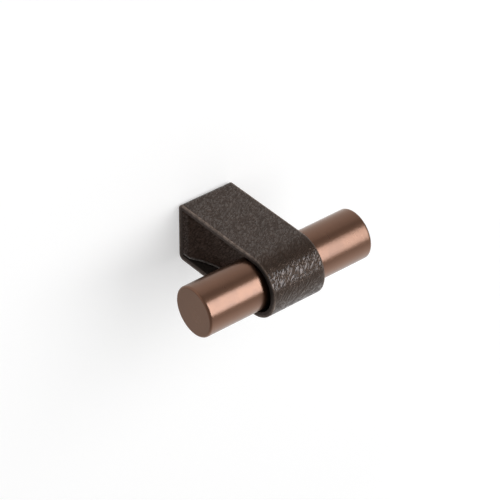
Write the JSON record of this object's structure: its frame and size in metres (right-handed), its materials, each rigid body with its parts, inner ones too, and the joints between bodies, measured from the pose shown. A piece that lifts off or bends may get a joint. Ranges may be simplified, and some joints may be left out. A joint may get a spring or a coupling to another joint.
{
  "type": "cabinet knob",
  "caption": "T-shaped cabinet knob: a round satin metal bar held by a wide leather strap folded over a flared core, screwed on from behind the door or drawer front.",
  "frame": {"origin": "centre of the strap's flat back, which lies on the cabinet front, on the axis of the fixing screw", "axes": "+Z away from the cabinet front, X along the bar, Y across the strap's two runs"},
  "size_m": [0.053, 0.0176, 0.0388],
  "materials": {
    "bar_metal": "satin copper-brown",
    "strap_leather": "pebbled dark brown grain",
    "core_metal": "as cast",
    "facing_leather": "fine dark brown grain",
    "screw_steel": "zinc plated",
    "insert_brass": "turned"
  },
  "bodies": {
    "root": {"bar": "bar_metal", "leather_strap": "strap_leather", "core_block": "core_metal", "side_facing_right": "facing_leather", "side_facing_left": "facing_leather", "bar_screw": "screw_steel", "threaded_insert": "insert_brass"}
  },
  "joints": []
}
